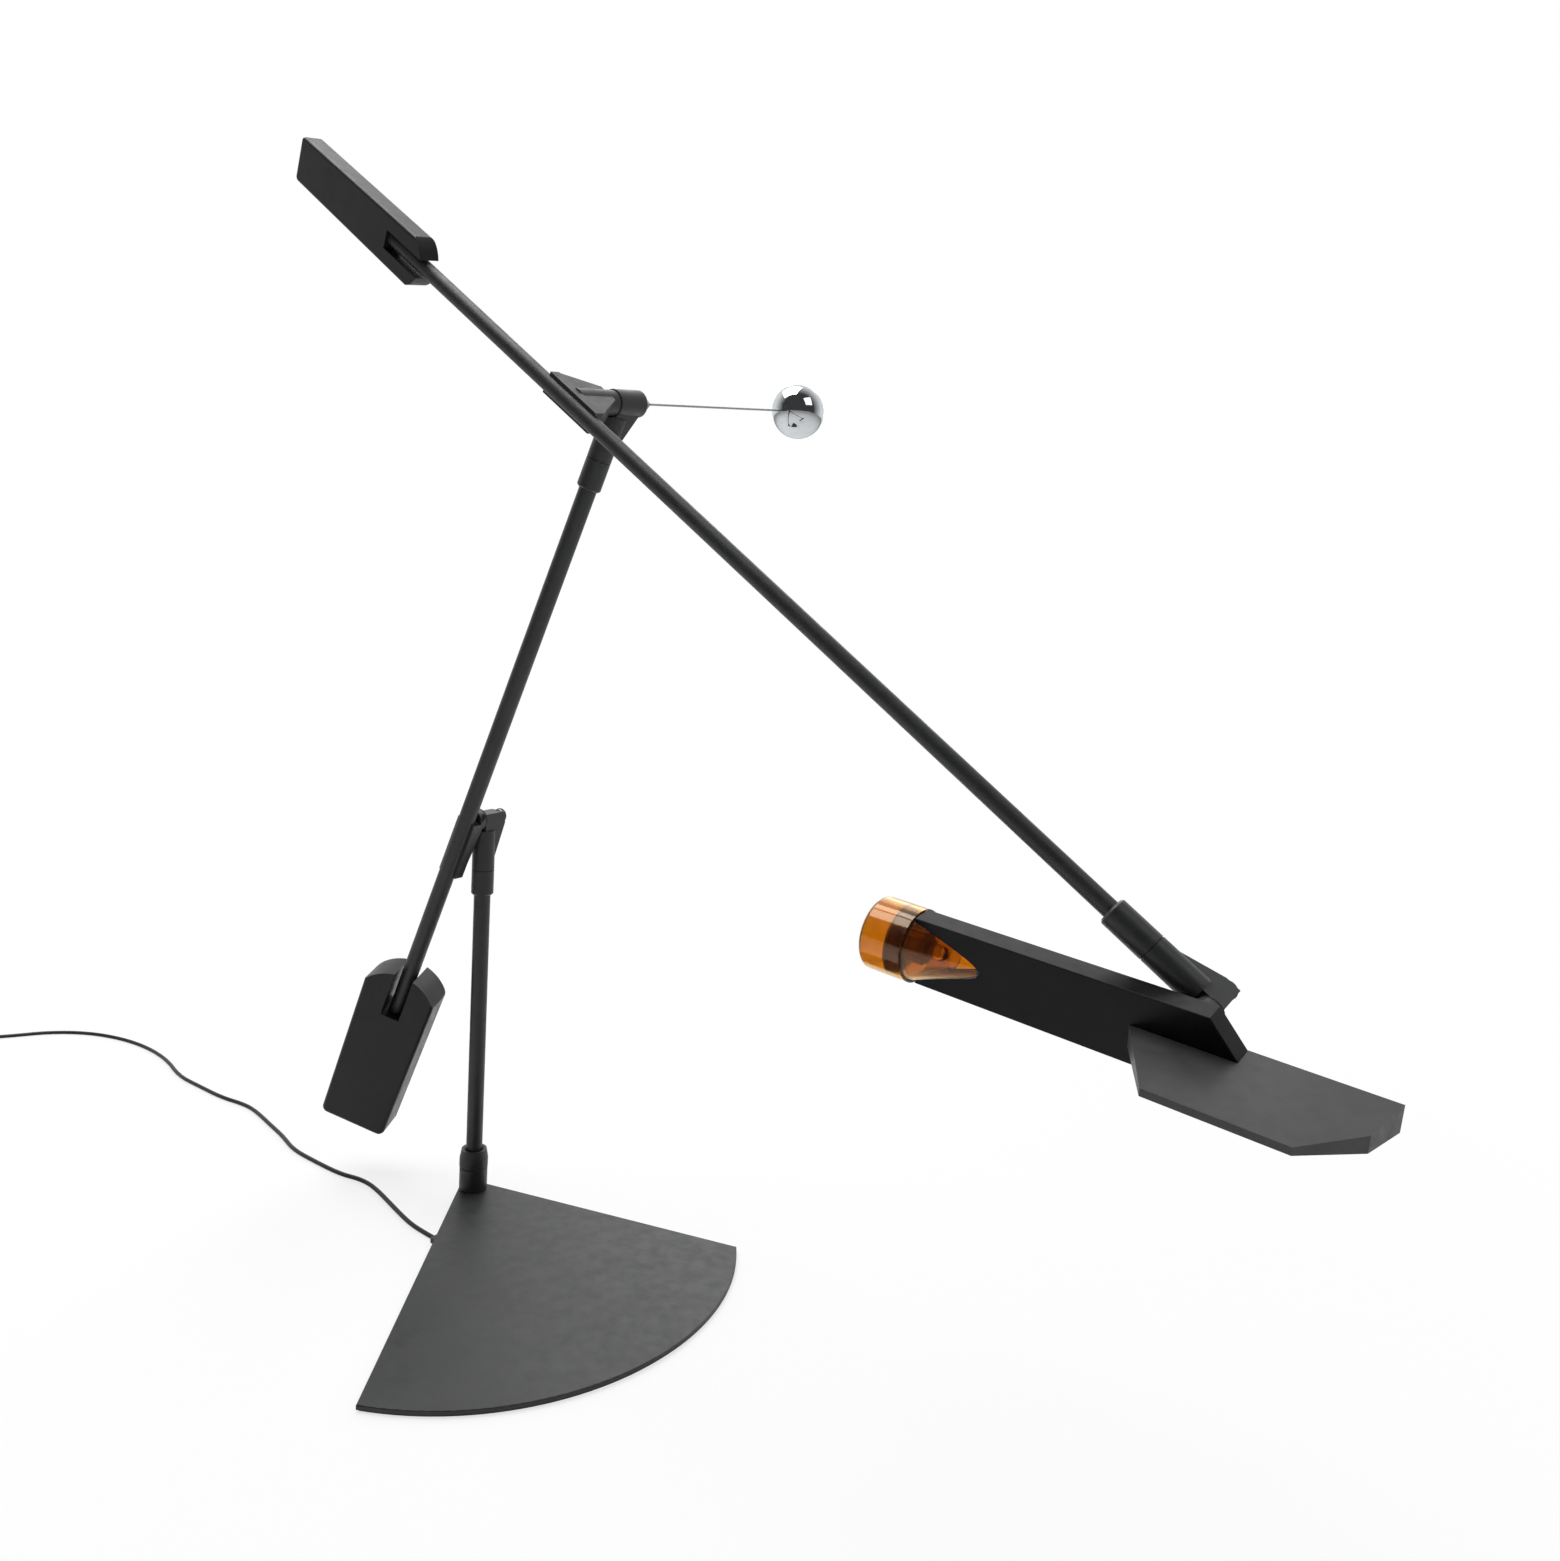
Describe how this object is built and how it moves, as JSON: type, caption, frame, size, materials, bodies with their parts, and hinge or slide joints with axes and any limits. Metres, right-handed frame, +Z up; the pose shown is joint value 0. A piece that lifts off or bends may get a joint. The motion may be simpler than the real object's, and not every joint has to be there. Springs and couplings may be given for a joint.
{
  "type": "desk lamp",
  "caption": "Counterweight balance desk lamp with balanced tube arms, a sector base plate and an amber-ended bar head",
  "frame": {"origin": "On the mast's axis, on the surface the lamp stands on", "axes": "Z up along the mast; X to the right and Y away from the picture's viewer; the base plate's faces are level"},
  "size_m": [1.347, 0.7919, 0.8803],
  "materials": {
    "powder_coat": "satin",
    "dark_coat": "satin",
    "fin_coat": "satin",
    "bright_steel": "satin",
    "chrome_plate": "polished",
    "plug_brass": "satin",
    "nylon_washer": "matte",
    "rubber_pad": "matte",
    "black_cable": "matte",
    "amber_glass": "gloss",
    "ceramic": "matte",
    "clear_glass": "gloss"
  },
  "bodies": {
    "base": {"base_pad": "rubber_pad", "base_plate": "powder_coat", "cord_gland": "black_cable", "mast_socket": "powder_coat", "mast_lock_ring": "powder_coat", "socket_bolt": "bright_steel", "plate_wire": "black_cable", "mast_tube": "powder_coat", "mast_wire": "black_cable", "mast_sleeve": "powder_coat", "cord_run": "black_cable", "cord_coil": "black_cable", "coil_tie": "black_cable", "plug_body": "black_cable", "plug_pins": "plug_brass"},
    "elbow_one": {"elbow_1": "powder_coat", "swivel_stud_1": "bright_steel", "swivel_washer_1": "nylon_washer", "pivot_cap_1": "powder_coat"},
    "lower_arm": {"bracket_1": "powder_coat", "bracket_screws_1": "bright_steel", "pivot_pin_1": "bright_steel", "friction_washer_1": "nylon_washer", "lower_arm_tube": "powder_coat", "lower_arm_wire": "black_cable", "sleeve_2": "powder_coat", "lower_counterweight": "dark_coat", "counterweight_screw_1": "bright_steel"},
    "elbow_two": {"elbow_2": "powder_coat", "swivel_stud_2": "bright_steel", "swivel_washer_2": "nylon_washer", "rod_cone": "powder_coat", "ball_rod": "bright_steel", "chrome_ball": "chrome_plate"},
    "upper_arm": {"bracket_2": "powder_coat", "bracket_screws_2": "bright_steel", "pivot_pin_2": "bright_steel", "friction_washer_2": "nylon_washer", "upper_arm_tube": "powder_coat", "upper_arm_wire": "black_cable", "sleeve_3": "powder_coat", "upper_counterweight": "dark_coat", "counterweight_screw_2": "bright_steel"},
    "elbow_three": {"elbow_3": "powder_coat", "swivel_stud_3": "bright_steel", "swivel_washer_3": "nylon_washer", "pivot_cap_3": "powder_coat"},
    "head": {"head_bracket": "powder_coat", "bracket_screws_3": "bright_steel", "pivot_pin_3": "bright_steel", "friction_washer_3": "nylon_washer", "head_bar": "dark_coat", "head_fin": "fin_coat", "fin_screws": "bright_steel", "amber_cap": "amber_glass", "amber_cone": "amber_glass", "lampholder": "ceramic", "halogen_capsule": "clear_glass", "reflector": "bright_steel"}
  },
  "joints": [
    {"name": "mast_swivel", "type": "hinge", "parent": "base", "child": "elbow_one", "pos_m": [0, 0, 0.2965], "axis": [0, 0, 1], "range_deg": [-90, 90]},
    {"name": "lower_arm_tilt", "type": "hinge", "parent": "elbow_one", "child": "lower_arm", "pos_m": [0, 0, 0.3415], "axis": [-0.4409, -0.8976, 0], "range_deg": [-15, 8]},
    {"name": "elbow_two_swivel", "type": "hinge", "parent": "lower_arm", "child": "elbow_two", "pos_m": [0.09608, -0.07337, 0.63753], "axis": [0.3338, -0.1639, 0.9283], "range_deg": [-40, 40]},
    {"name": "upper_arm_tilt", "type": "hinge", "parent": "elbow_two", "child": "upper_arm", "pos_m": [0.1111, -0.08075, 0.67931], "axis": [-0.57, -0.8101, -0.1376], "range_deg": [-15, 15]},
    {"name": "elbow_three_swivel", "type": "hinge", "parent": "upper_arm", "child": "elbow_three", "pos_m": [0.46698, -0.34396, 0.36013], "axis": [0.7124, -0.4037, -0.574], "range_deg": [-30, 30]},
    {"name": "head_tilt", "type": "hinge", "parent": "elbow_three", "child": "head", "pos_m": [0.49903, -0.36212, 0.3343], "axis": [-0.6179, -0.7486, -0.2404], "range_deg": [-20, 20]}
  ]
}
